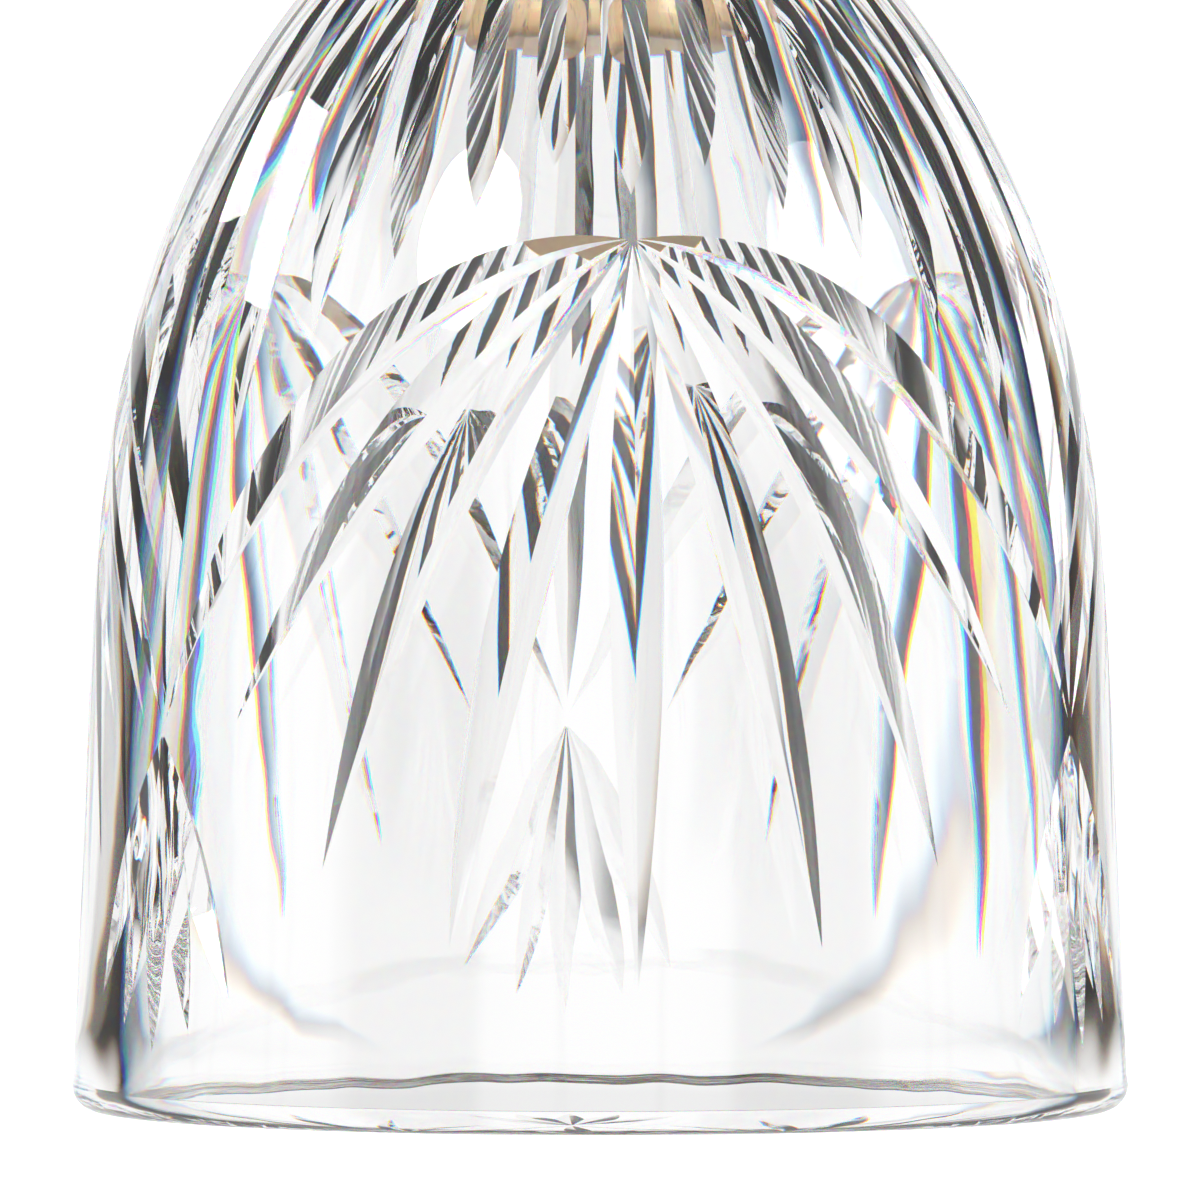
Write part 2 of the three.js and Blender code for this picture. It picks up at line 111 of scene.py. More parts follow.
# %% The surface's radius, lean, points and normals
def outer_radius(z):
    u = max(0.0, z - SHOULDER_START) / shoulder_rise
    return MOUTH_RADIUS - SIDE_TAPER * z - shoulder_drop * u ** SHOULDER_POWER


def lean_in(z):
    u = max(0.0, z - SHOULDER_START) / shoulder_rise
    return SIDE_TAPER + shoulder_drop / shoulder_rise * SHOULDER_POWER * u ** (SHOULDER_POWER - 1)


def surface_point(angle, z):
    r = outer_radius(z)
    return Vector((r * math.sin(angle), -r * math.cos(angle), z))


def surface_normal(angle, z):
    return Vector((math.sin(angle), -math.cos(angle), lean_in(z))).normalized()


def arc(r, z, size, start, end, steps):
    """Points on a circular arc in the section drawing, from one angle in degrees to another."""
    turns = [math.radians(start + (end - start) * i / steps) for i in range(steps + 1)]
    return [(r + size * math.cos(t), z + size * math.sin(t)) for t in turns]


# The neck's fillet leaves the shoulder in its direction and turns upright at the neck's radius.
fillet_turn = math.degrees(math.atan(lean_in(SHOULDER_TOP)))
fillet_radius = (SHOULDER_TOP_RADIUS - NECK_RADIUS) / (1 - math.cos(math.radians(fillet_turn)))
fillet_centre = NECK_RADIUS + fillet_radius
fillet_top = SHOULDER_TOP + fillet_radius * math.sin(math.radians(fillet_turn))
print(f"neck fillet {fillet_radius / MM:.2f} mm, through {fillet_turn:.1f} degrees")

# %% [markdown]
# ## The section of the blank
#
# The blank is blown or pressed to this section before any cutting. The inner side is the outer side moved
# in by the wall, square to the surface. The section closes on itself through the bore in the neck, so the
# turned body has no poles.

# %% Outline of the blank
SIDE_ROWS = 112
INNER_ROWS = 56
INNER_START = 6 * MM


def inner_point(z):
    lean = lean_in(z)
    step = WALL / math.hypot(1, lean)
    return (outer_radius(z) - step, z - step * lean)


def blank_outline():
    rim = outer_radius(0)
    mouth = rim - WALL
    hollow = NECK_RADIUS - WALL
    side_step = (SHOULDER_TOP - RIM_OUTER_ROUND) / SIDE_ROWS
    inner_step = (SHOULDER_TOP - INNER_START) / INNER_ROWS
    side = [RIM_OUTER_ROUND + side_step * i for i in range(1, SIDE_ROWS + 1)]
    inner = [inner_point(SHOULDER_TOP - inner_step * i) for i in range(INNER_ROWS + 1)]
    return [
        (mouth + RIM_INNER_ROUND, 0.0),
        *arc(rim - RIM_OUTER_ROUND, RIM_OUTER_ROUND, RIM_OUTER_ROUND, -90, 0, 12),
        *[(outer_radius(z), z) for z in side],
        *arc(fillet_centre, fillet_top, fillet_radius, 180 + fillet_turn, 180, 12)[1:],
        *arc(NECK_RADIUS - NECK_EDGE, neck_top - NECK_EDGE, NECK_EDGE, 0, 90, 6),
        (bore, neck_top),
        (bore, ceiling),
        *arc(hollow - NECK_EDGE, ceiling - NECK_EDGE, NECK_EDGE, 90, 0, 6),
        *arc(fillet_centre, fillet_top, fillet_radius + WALL, 180, 180 + fillet_turn, 12)[:-1],
        *inner,
        *arc(mouth + RIM_INNER_ROUND, RIM_INNER_ROUND, RIM_INNER_ROUND, 180, 270, 4)[:-1],
    ]


print("the blank's outline has", len(blank_outline()), "points")

# %% [markdown]
# ## A lathe
#
# Glass, beech and brass are all turned here, so one helper serves them: it spins an outline round Z. An
# outline that starts and ends on the axis gets one shared vertex at each pole, and any other outline
# closes on itself.

# %% Spin an outline into a closed mesh
def linked(name, data):
    made = bpy.data.objects.new(name, data)
    scene.collection.objects.link(made)
    return made


def new_piece(name, points, faces):
    mesh = bpy.data.meshes.new(name)
    mesh.from_pydata(points, [], faces)
    mesh.update()
    return linked(name, mesh)


def turned(name, outline, sides=144):
    poles = outline[0][0] == 0
    rings = outline[1:-1] if poles else outline
    turns = [2 * math.pi * k / sides for k in range(sides)]
    points = [(r * math.sin(t), -r * math.cos(t), z) for r, z in rings for t in turns]
    count = len(rings)
    faces = []
    for i in range(count - 1 if poles else count):
        low, high = i * sides, (i + 1) % count * sides
        for k in range(sides):
            far = (k + 1) % sides
            faces.append((low + k, low + far, high + far, high + k))
    if poles:
        points += [(0, 0, outline[0][1]), (0, 0, outline[-1][1])]
        bottom, top = len(points) - 2, len(points) - 1
        last = (count - 1) * sides
        for k in range(sides):
            far = (k + 1) % sides
            faces.append((bottom, far, k))
            faces.append((top, last + k, last + far))
    return new_piece(name, points, faces)


BELL_SIDES = 288
blank = turned("cut_glass", blank_outline(), BELL_SIDES)
print("blank faces:", len(blank.data.polygons))

# %% [markdown]
# ## What the cutting wheel takes away
#
# A cutter holds the blank against a wheel dressed to a V. The groove is nothing where the wheel comes in,
# deepest halfway, and nothing where it leaves. Each cut is modelled as the solid it removes: a wedge
# whose keel follows a route over the glass, a little way under the surface.

# %% One wedge along a route
CUT_HALF_ANGLE = 57
CUT_MARGIN = 0.7 * MM
CUT_RUN_OUT = 0.05 * MM
wedge_spread = math.tan(math.radians(CUT_HALF_ANGLE))
cutters = bpy.data.collections.new("one panel of cuts")
scene.collection.children.link(cutters)


def wheel_depth(t, deepest, flatness=2.0):
    return (deepest + CUT_RUN_OUT) * (1 - abs(2 * t - 1) ** flatness) - CUT_RUN_OUT


def wedge(name, route, steps):
    """route(t) gives the angle in degrees, the height and the depth, for t from 0 to 1."""
    stops = [route(i / steps) for i in range(steps + 1)]
    normals = [surface_normal(math.radians(angle), z) for angle, z, depth in stops]
    keel = [surface_point(math.radians(stop[0]), stop[1]) - n * stop[2] for stop, n in zip(stops, normals)]
    tall = max(depth for angle, z, depth in stops) + CUT_MARGIN
    points = []
    for i, (low, n) in enumerate(zip(keel, normals)):
        along = keel[min(i + 1, steps)] - keel[max(i - 1, 0)]
        across = along.cross(n).normalized() * tall * wedge_spread
        points += [low, low + n * tall + across, low + n * tall - across]
    faces = [(0, 1, 2), (3 * steps, 3 * steps + 2, 3 * steps + 1)]
    for near in range(0, 3 * steps, 3):
        for p, q in ((0, 1), (1, 2), (2, 0)):
            faces.append((near + p, near + 3 + p, near + 3 + q))
            faces.append((near + p, near + 3 + q, near + q))
    cutter = new_piece(name, points, faces)
    scene.collection.objects.unlink(cutter)
    cutters.objects.link(cutter)
    return cutter


# %% [markdown]
# ## The pattern
#
# One panel is a third of the bell: a large fan of nine curved cuts from one apex, a small fan of five
# straight cuts at the panel's edge, and twelve upright flutes whose lower tips follow the fans' outline.

# %% The cuts of one panel
PANELS = 3
FAN_APEX = 61.1
FAN_DEPTH = 1.25 * MM
# Where each fan cut aims and where it ends: degrees from the fan's middle, and height in millimetres.
FAN_CUTS = [
    ((0, 40), (0, 9.4)),
    ((14, 40.5), (20.1, 12.1)),
    ((22, 51), (35.1, 17.4)),
    ((21.5, 57.2), (47.6, 27.6)),
    ((35.5, 61.1), (60, 27.5)),
]
SPRAY_TOP = 27.2
SPRAY_DEPTH = 0.95 * MM
# How far each small fan cut spreads, in degrees, and the height of its end.
SPRAY_CUTS = [(0, 4.7), (6.6, 6.4), (13, 8.6)]
FLUTES = 36
FLUTE_HALF_WIDTH = 1.75 * MM
FLUTE_LAND = 0.45 * MM
FLUTE_TOP_INSET = 2.5 * MM
FLUTE_FLATNESS = 2.6
FLUTE_TIPS = [64, 66, 63, 59.6, 54.4, 47, 28.5]
FAN_STEPS = 40
SPRAY_STEPS = 24
FLUTE_STEPS = 40


def bend(start, aim, end, t):
    return (1 - t) ** 2 * start + 2 * t * (1 - t) * aim + t * t * end


def fan_cut(place, side):
    aim, end = FAN_CUTS[place]

    def route(t):
        angle = side * bend(0, aim[0], end[0], t)
        return angle, bend(FAN_APEX, aim[1], end[1], t) * MM, wheel_depth(t, FAN_DEPTH)

    return wedge(f"fan cut {side * place}", route, FAN_STEPS)


def spray_cut(place, side):
    spread, end = SPRAY_CUTS[place]

    def route(t):
        z = (SPRAY_TOP + (end - SPRAY_TOP) * t) * MM
        return 180 / PANELS + side * spread * t, z, wheel_depth(t, SPRAY_DEPTH)

    return wedge(f"spray cut {side * place}", route, SPRAY_STEPS)


def flute_cut(place):
    tip = FLUTE_TIPS[abs(place)] * MM
    rise = SHOULDER_TOP - FLUTE_TOP_INSET - tip

    def route(t):
        z = tip + rise * t
        half_pitch = math.pi * outer_radius(z) / FLUTES
        half_width = min(FLUTE_HALF_WIDTH, half_pitch - FLUTE_LAND / 2)
        return 360 / FLUTES * place, z, wheel_depth(t, half_width / wedge_spread, FLUTE_FLATNESS)

    return wedge(f"flute {place}", route, FLUTE_STEPS)


for make_cut, table in ((fan_cut, FAN_CUTS), (spray_cut, SPRAY_CUTS)):
    for place in range(len(table)):
        for side in (1, -1) if place else (1,):
            make_cut(place, side)
for place in range(1 - FLUTES // PANELS // 2, FLUTES // PANELS // 2 + 1):
    flute_cut(place)

# %% [markdown]
# ## Cutting the glass with Geometry Nodes
#
# The pattern repeats round the bell, which is what Geometry Nodes are good at. The tree joins one panel's
# wedges into a single cutter, sets a copy of it at each panel, and takes them all from the blank with a
# boolean. Change Panels and the whole bell is cut again.

# %% Small helpers for node trees
def feed(tree, socket, value):
    """Links a socket to another one, or gives it a number or a colour."""
    if isinstance(value, bpy.types.NodeSocket):
        tree.links.new(value, socket)
    else:
        socket.default_value = value


def add(tree, kind, inputs=None, **settings):
    """Adds a node. Settings are its properties, and inputs are values or sockets by input name."""
    made = tree.nodes.new(kind)
    for name, value in settings.items():
        setattr(made, name, value)
    for name, value in (inputs or {}).items():
        feed(tree, made.inputs[name], value)
    return made


def math_node(tree, operation, first, second=0.0, third=0.0):
    made = add(tree, "ShaderNodeMath", operation=operation)
    for socket, value in zip(made.inputs, (first, second, third)):
        feed(tree, socket, value)
    return made.outputs[0]


def own_place(tree):
    """Coordinates that belong to the object and ride with it."""
    return add(tree, "ShaderNodeTexCoord").outputs["Object"]


def mapped(tree, place, **values):
    return add(tree, "ShaderNodeMapping", {"Vector": place, **values}).outputs[0]


def noise(tree, place, scale, detail=2.0, roughness=0.5):
    values = {"Vector": place, "Scale": scale, "Detail": detail, "Roughness": roughness}
    return add(tree, "ShaderNodeTexNoise", values).outputs[0]


def mixed(tree, share, first, second):
    return add(tree, "ShaderNodeMixShader", {0: share, 1: first, 2: second}).outputs[0]


def bump(tree, height, strength, distance):
    values = {"Height": height, "Strength": strength, "Distance": distance}
    return add(tree, "ShaderNodeBump", values).outputs[0]


def ramp(tree, value, start, end, low, high):
    values = {"Value": value, "From Min": start, "From Max": end, "To Min": low, "To Max": high}
    return add(tree, "ShaderNodeMapRange", values, interpolation_type="SMOOTHSTEP").outputs[0]


# %% The tree that cuts the bell
def cutting_tree():
    tree = bpy.data.node_groups.new("cut the bell", "GeometryNodeTree")
    for name, kind in (
        ("Blank", "NodeSocketGeometry"),
        ("Panels", "NodeSocketInt"),
        ("Cuts", "NodeSocketCollection"),
        ("Crystal", "NodeSocketMaterial"),
    ):
        tree.interface.new_socket(name, in_out="INPUT", socket_type=kind)
    tree.interface.new_socket("Cut bell", in_out="OUTPUT", socket_type="NodeSocketGeometry")
    given = add(tree, "NodeGroupInput").outputs
    wedges = add(tree, "GeometryNodeCollectionInfo", {
        "Collection": given["Cuts"],
        "Separate Children": True,
    })
    panel = add(tree, "GeometryNodeMeshBoolean", {"Mesh 2": wedges.outputs[0]},
                operation="UNION", solver="MANIFOLD")
    places = add(tree, "GeometryNodePoints", {"Count": given["Panels"]})
    turn = math_node(tree, "DIVIDE", 2 * math.pi, given["Panels"])
    index = add(tree, "GeometryNodeInputIndex").outputs[0]
    angle = add(tree, "ShaderNodeCombineXYZ", {"Z": math_node(tree, "MULTIPLY", index, turn)})
    round_the_bell = add(tree, "GeometryNodeInstanceOnPoints", {
        "Points": places.outputs[0],
        "Instance": panel.outputs["Mesh"],
        "Rotation": angle.outputs[0],
    })
    cut = add(tree, "GeometryNodeMeshBoolean", {
        "Mesh 1": given["Blank"],
        "Mesh 2": round_the_bell.outputs[0],
    }, operation="DIFFERENCE", solver="MANIFOLD")
    real = add(tree, "GeometryNodeRealizeInstances", {"Geometry": cut.outputs["Mesh"]})
    dressed = add(tree, "GeometryNodeSetMaterial", {
        "Geometry": real.outputs[0],
        "Material": given["Crystal"],
    })
    add(tree, "NodeGroupOutput", {"Cut bell": dressed.outputs[0]})
    return tree


def settled(piece):
    """Keeps what the piece's modifier makes as a plain mesh."""
    seen = piece.evaluated_get(bpy.context.evaluated_depsgraph_get())
    piece.data = bpy.data.meshes.new_from_object(seen)
    piece.modifiers.clear()
    return piece


def grow(piece, tree, values):
    """Runs a Geometry Nodes tree on a piece."""
    modifier = piece.modifiers.new(tree.name, "NODES")
    modifier.node_group = tree
    for socket in tree.interface.items_tree:
        if socket.name in values:
            modifier[socket.identifier] = values[socket.name]
    return settled(piece)


# %% [markdown]
# ## Lead crystal
#
# Crystal is clear and bends light strongly, and blue more than red, which gives the cuts their coloured
# edges. One Glass shader bends all colours alike. Here three of them share what the eye meets first, each
# passing one colour with its own index, and one plain Glass shader does the rest, so that a ray isn't
# split at every surface. Lamps' shadow rays pass straight through, so that the clapper inside is lit.

# %% The crystal material
INDEX = 1.56
RED_INDEX = 1.553
BLUE_INDEX = 1.567
SHADOW_TINT = (0.97, 0.975, 0.975, 1)
RIPPLE_SCALE = 90.0
RIPPLE_HEIGHT = 0.18 * MM


def new_material(name):
    material = bpy.data.materials.new(name)
    material.use_nodes = True
    material.node_tree.nodes.clear()
    return material, material.node_tree


def glass_node(tree, colour, index, ripples):
    inputs = {"Color": colour, "Roughness": 0.0, "IOR": index, "Normal": ripples}
    return add(tree, "ShaderNodeBsdfGlass", inputs).outputs[0]


def ripples_in(tree):
    """The slow unevenness of glass that was shaped hot and polished by hand."""
    place = own_place(tree)
    long_way = mapped(tree, place, Scale=(1, 1, 0.55))
    return bump(tree, noise(tree, long_way, RIPPLE_SCALE, 1.5, 0.4), 1.0, RIPPLE_HEIGHT)


def crystal_material():
    material, tree = new_material("lead crystal")
    ripples = ripples_in(tree)
    plain = glass_node(tree, (1, 1, 1, 1), INDEX, ripples)
    red = glass_node(tree, (3, 0, 0, 1), RED_INDEX, ripples)
    green = glass_node(tree, (0, 3, 0, 1), INDEX, ripples)
    blue = glass_node(tree, (0, 0, 3, 1), BLUE_INDEX, ripples)
    split = mixed(tree, 1 / 3, mixed(tree, 0.5, red, green), blue)
    path = add(tree, "ShaderNodeLightPath").outputs
    whole = mixed(tree, path["Is Camera Ray"], plain, split)
    open_to_lamps = add(tree, "ShaderNodeBsdfTransparent", {"Color": SHADOW_TINT}).outputs[0]
    surface = mixed(tree, path["Is Shadow Ray"], whole, open_to_lamps)
    add(tree, "ShaderNodeOutputMaterial", {"Surface": surface})
    return material


crystal = crystal_material()
glass = grow(blank, cutting_tree(), {"Panels": PANELS, "Cuts": cutters, "Crystal": crystal})
for cutter in list(cutters.objects):
    bpy.data.meshes.remove(cutter.data)
bpy.data.collections.remove(cutters)
print("cut glass faces:", len(glass.data.polygons))

# %% [markdown]
# ## Shading the cut glass
#
# Glass shows every error in its normals, because they bend what is seen through it. Edges sharper than a
# few degrees stay crisp, and wherever a face still lies on the turned surface, its corners take the
# formula's own normal instead of an average of the odd-shaped faces that the boolean leaves.

# %% Crisp edges, and exact normals on the turned surfaces
SHARP = math.radians(18)
ON_SURFACE = 0.03 * MM
SAME_WAY = math.cos(math.radians(9))


def inner_leans():
    rows = [SHOULDER_TOP * i / 600 for i in range(601)]
    return [(inner_point(z)[1], inner_point(z)[0], lean_in(z)) for z in rows]


def lean_at(rows, z):
    """Radius and lean of the inner surface at a height, between two worked-out rows."""
    high = min(max(bisect_right(rows, z, key=lambda row: row[0]), 1), len(rows) - 1)
    low = high - 1
    share = (z - rows[low][0]) / (rows[high][0] - rows[low][0])
    return [a + (b - a) * share for a, b in zip(rows[low][1:], rows[high][1:])]


def exact_normals(mesh):
    rows = inner_leans()
    normals = [(0.0, 0.0, 0.0)] * len(mesh.loops)
    exact = 0
    for face in mesh.polygons:
        centre = face.center
        if not RIM_OUTER_ROUND < centre.z < SHOULDER_TOP:
            continue
        r = math.hypot(centre.x, centre.y)
        inner_radius, inner_lean = lean_at(rows, centre.z)
        if abs(r - outer_radius(centre.z)) < abs(r - inner_radius):
            away, radius, out = 1, outer_radius(centre.z), True
        else:
            away, radius, out = -1, inner_radius, False
        lean = lean_in(centre.z) if out else inner_lean
        true = Vector((centre.x / r, centre.y / r, lean)).normalized() * away
        if abs(r - radius) > 10 * ON_SURFACE or face.normal.dot(true) < SAME_WAY:
            continue
        exact += 1
        for corner in face.loop_indices:
            point = mesh.vertices[mesh.loops[corner].vertex_index].co
            reach = math.hypot(point.x, point.y)
            lean = lean_in(point.z) if out else lean_at(rows, point.z)[1]
            normals[corner] = Vector((point.x / reach, point.y / reach, lean)).normalized() * away
    mesh.normals_split_custom_set(normals)
    return exact


def shade(piece, angle=SHARP):
    piece.data.shade_smooth()
    piece.data.set_sharp_from_angle(angle=angle)


shade(glass)
print("faces with exact normals:", exact_normals(glass.data), "of", len(glass.data.polygons))
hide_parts("glass_bell")
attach(glass, "bell")

# %% [markdown]
# ## Beech
#
# The handle and the clapper are turned from one wood. Beech is pale and even: faint growth rings, because
# the blank came from beside the tree's heart, and thousands of short dark flecks along the grain. Rings
# and flecks are both laid out in the object's own coordinates, so end grain shows on the ends and long
# grain on the sides. The oiled handle has the wood's own tones. The clapper's tones are paler and warmer:
# painted light, which makes up for the light that the clapper loses inside the glass.

# %% The beech material
def ink(tree, value, stops):
    """A colour ramp with (place, colour) stops."""
    made = add(tree, "ShaderNodeValToRGB", {"Fac": value})
    bands = made.color_ramp.elements
    while len(bands) < len(stops):
        bands.new(0.5)
    for band, (place, colour) in zip(bands, stops):
        band.position = place
        band.color = (*colour, 1)
    return made.outputs[0]


def blended(tree, share, first, second):
    made = add(tree, "ShaderNodeMix", data_type="RGBA")
    for socket, value in ((0, share), (6, first), (7, second)):
        feed(tree, made.inputs[socket], value)
    return made.outputs[2]


def finished(material, tree, **inputs):
    values = {name.replace("_", " "): value for name, value in inputs.items()}
    shader = add(tree, "ShaderNodeBsdfPrincipled", values)
    add(tree, "ShaderNodeOutputMaterial", {"Surface": shader.outputs[0]})
    return material


HEART = (-34 * MM, 17 * MM, 0)
RING_SCALE = 150.0
RING_STRETCH = 0.05
DRIFT_SCALE = 420.0
FLECK_SCALE = 3600.0
FLECK_DEPTH = -0.03 * MM
GRAIN_STRETCH = 0.11
HANDLE_TONES = ((0.55, 0.35, 0.19), (0.68, 0.48, 0.30), (0.43, 0.25, 0.12, 1))
# The clapper's tones are the handle's raised: painted light for the light that the glass keeps from the
# clapper.
CLAPPER_BRIGHTENED_TONES = ((0.94, 0.60, 0.30), (0.96, 0.70, 0.40), (0.82, 0.48, 0.22, 1))


def beech_material(name, tones):
    low, high, late_wood = tones
    material, tree = new_material(name)
    place = own_place(tree)
    from_heart = mapped(tree, place, Location=HEART, Scale=(1, 1, RING_STRETCH))
    rings = add(tree, "ShaderNodeTexWave", {
        "Vector": from_heart,
        "Scale": RING_SCALE,
        "Distortion": 5.0,
        "Detail": 3.0,
        "Detail Scale": 1.4,
    }, wave_type="RINGS", rings_direction="Z").outputs["Fac"]
    along = mapped(tree, place, Scale=(1, 1, GRAIN_STRETCH))
    drift = noise(tree, along, DRIFT_SCALE, 4.0)
    pores = noise(tree, along, FLECK_SCALE, 1.0)
    flecks = ramp(tree, pores, 0.60, 0.72, 0.0, 0.75)
    pale = ink(tree, drift, [(0.25, low), (0.75, high)])
    ringed = blended(tree, math_node(tree, "MULTIPLY", rings, 0.32), pale, late_wood)
    colour = blended(tree, flecks, ringed, (0.33, 0.19, 0.09, 1))
    relief = bump(tree, flecks, 0.5, FLECK_DEPTH)
    dull = ramp(tree, drift, 0.3, 0.8, 0.38, 0.52)
    return finished(material, tree, Base_Color=colour, Roughness=dull, Normal=relief, Coat_Weight=0.2,
                    Coat_Roughness=0.25)


beech = beech_material("oiled beech", HANDLE_TONES)
# The clapper's beech: the same wood in paler, warmer tones, painted light for what the glass takes away.
brightened_beech = beech_material("brightened beech", CLAPPER_BRIGHTENED_TONES)
print("growth rings about", round(2 * math.pi / 20 / RING_SCALE / MM, 1), "mm apart")

# %% [markdown]
# ## Brass, steel, cork and nylon
#
# Turned brass keeps the fine rings that the tool left, and a soft unevenness where it has been handled.
# The rolled steel of the rod is greyer and duller. Cork is pressed from granules of several browns. The
# nylon of the bush is milky, because light goes a little way into it.

# %% The other materials
TOOL_MARKS = 900.0
TOOL_MARK_HEIGHT = 0.004 * MM
GRANULE_DEPTH = -0.15 * MM


def brass_material():
    material, tree = new_material("turned brass")
    place = own_place(tree)
    marks = add(tree, "ShaderNodeTexWave", {
        "Vector": place,
        "Scale": TOOL_MARKS,
        "Distortion": 1.5,
        "Detail": 2.0,
    }, wave_type="BANDS", bands_direction="Z").outputs["Fac"]
    handled = noise(tree, place, 260.0, 5.0)
    colour = ink(tree, handled, [
        (0.32, (0.60, 0.40, 0.15)),
        (0.6, (0.78, 0.55, 0.23)),
        (0.8, (0.84, 0.62, 0.29)),
    ])
    relief = bump(tree, marks, 0.35, TOOL_MARK_HEIGHT)
    dull = ramp(tree, handled, 0.3, 0.75, 0.3, 0.17)
    return finished(material, tree, Base_Color=colour, Metallic=1.0, Roughness=dull, Normal=relief)


def steel_material():
    material, tree = new_material("rolled steel")
    place = own_place(tree)
    cloud = noise(tree, place, 900.0, 4.0)
    colour = ink(tree, cloud, [(0.3, (0.42, 0.43, 0.44)), (0.7, (0.60, 0.61, 0.62))])
    dull = ramp(tree, cloud, 0.3, 0.7, 0.24, 0.40)
    return finished(material, tree, Base_Color=colour, Metallic=1.0, Roughness=dull)


def cork_material():
    material, tree = new_material("pressed cork")
    place = own_place(tree)
    granules = add(tree, "ShaderNodeTexVoronoi", {"Vector": place, "Scale": 900.0})
    tone = add(tree, "ShaderNodeSeparateColor", {0: granules.outputs["Color"]}).outputs[0]
    colour = ink(tree, tone, [
        (0.0, (0.26, 0.14, 0.07)),
        (0.3, (0.44, 0.27, 0.14)),
        (1.0, (0.60, 0.41, 0.23)),
    ])
    relief = bump(tree, granules.outputs["Distance"], 0.6, GRANULE_DEPTH)
    return finished(material, tree, Base_Color=colour, Roughness=0.85, Normal=relief)


def nylon_material():
    material, tree = new_material("natural nylon")
    place = own_place(tree)
    cloud = noise(tree, place, 500.0)
    colour = ink(tree, cloud, [(0.3, (0.76, 0.75, 0.69)), (0.7, (0.84, 0.83, 0.78))])
    return finished(material, tree, Base_Color=colour, Roughness=0.45, Subsurface_Weight=0.3)


brass = brass_material()
steel = steel_material()
cork = cork_material()
nylon = nylon_material()
print("materials:", [m.name for m in (crystal, beech, brightened_beech, brass, steel, cork, nylon)])

# %% [markdown]
# ## Finishing a turned section
#
# No tool leaves a perfectly sharp corner, and the light along a softened edge is what makes a small metal
# part look real. One helper rounds every corner of a section, another draws the same smooth curve through
# a few points as the frame has, and a third scribes fine lines with the point of a skew chisel.

# %% Softened corners, smooth curves and scribed lines
CORNER = math.radians(25)
TURNED_SIDES = 144
FINE_SIDES = 192


def softened(outline, radius, closed=True, steps=3):
    """The same section with its corners rounded."""
    count = len(outline)
    points = [Vector(point) for point in outline]
    result = []
    for i, point in enumerate(points):
        before, after = points[i - 1] - point, points[(i + 1) % count] - point
        end = not closed and i in (0, count - 1)
        if end or min(before.length, after.length) < 1e-9 or math.pi - before.angle(after) < CORNER:
            result.append(tuple(point))
            continue
        turn = math.pi - before.angle(after)
        reach = min(radius * math.tan(turn / 2), 0.4 * before.length, 0.4 * after.length)
        start, stop = point + before.normalized() * reach, point + after.normalized() * reach
        for step in range(steps + 1):
            t = step / steps
            bent = start * (1 - t) ** 2 + point * 2 * t * (1 - t) + stop * t * t
            result.append(tuple(bent))
    return result


def smooth(outline, steps):
    """A curve through the points, as a spline that leaves each one along the line between its neighbours."""
    last = len(outline) - 1
    points = [Vector(point) for point in outline]
    result = []
    for i in range(steps + 1):
        place = last * i / steps
        k = min(int(place), last - 1)
        t = place - k
        p0, p1, p2, p3 = points[max(k - 1, 0)], points[k], points[k + 1], points[min(k + 2, last)]
        v0, v1 = (p2 - p0) / 2, (p3 - p1) / 2
        bent = (2 * p1 - 2 * p2 + v0 + v1) * t ** 3 + (3 * p2 - 3 * p1 - 2 * v0 - v1) * t * t + v0 * t + p1
        result.append(tuple(bent))
    return result


def scribed(outline, lines, depth=0.22 * MM, half_width=0.28 * MM):
    """Takes a fine V line out of a section at each height."""
    def cut(z):
        return max([0.0] + [depth * (1 - abs(z - line) / half_width) for line in lines])

    return [(r - cut(z), z) for r, z in outline]


def turned_ring(name, outer, hole, bottom, edge, sides=TURNED_SIDES):
    """A turned piece bored through: its outer section, closed down the hole."""
    top = outer[-1][1]
    return turned(name, softened([(hole, bottom), *outer, (hole, top)], edge), sides)


def heights(node):
    low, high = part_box(node)
    return low.z, high.z


def washer(name, node, radius, edge, hole=plain_hole):
    """A flat ring as high as its CAD node."""
    bottom, top = heights(node)
    return turned_ring(name, [(radius, bottom), (radius, top)], hole, bottom, edge)


def skin(rows, count, closed=True, inward=False):
    """The faces between each row of a swept section and the next."""
    faces = []
    for row in range(rows if closed else rows - 1):
        near, far = count * row, count * ((row + 1) % rows)
        for k in range(count):
            j = (k + 1) % count
            outwards = (near + k, far + k, far + j, near + j)
            faces.append((near + k, near + j, far + j, far + k) if inward else outwards)
    return faces


def dress(piece, material, node, body="bell"):
    """Gives a piece its material and its body, and hides the CAD node that it stands for."""
    piece.data.materials.clear()
    piece.data.materials.append(material)
    shade(piece, math.radians(28))
    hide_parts(node)
    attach(piece, body)
    print(f"{piece.name}: {len(piece.data.polygons)} faces for {node}")
    return piece


# %% [markdown]
# ## The handle
#
# From the glass upwards: a cork washer, a brass ferrule with a rounded foot and a cove, a beech grip with
# two scribed lines, a brass bead, a beech knob, and the washer and cap nut that close the rod. Each piece
# takes its height from the frame's box of its own node, and its section from the sizes below.

# %% Sizes of the handle
CORK_INSET = 0.6 * MM
FERRULE_RADIUS = 11 * MM
FERRULE_FOOT = 1.8 * MM
FERRULE_FLOOR = 2 * MM
FERRULE_TOP_RADIUS = 7.8 * MM
TENON_RADIUS = 5.6 * MM
TENON_CLEARANCE = 0.15 * MM
GRIP_FOOT_RADIUS = 7.6 * MM
GRIP_BELLY_RADIUS = 9 * MM
GRIP_WAIST_RADIUS = 5.2 * MM
COLLAR_RADIUS = 5.3 * MM
KNOB_RADIUS = 8.4 * MM
KNOB_SEAT_RADIUS = 4.9 * MM
FINIAL_WASHER_RADIUS = 4.7 * MM
FINIAL_RADIUS = 4.2 * MM
FINIAL_SKIRT = 1.8 * MM
FINIAL_CROWN = 1.5 * MM
THREAD_GAP = 0.06 * MM
METAL_EDGE = 0.18 * MM
WOOD_EDGE = 0.3 * MM
CORK_EDGE = 0.2 * MM
FINE_EDGE = 0.1 * MM
thread_hole = ROD_RADIUS + THREAD_GAP


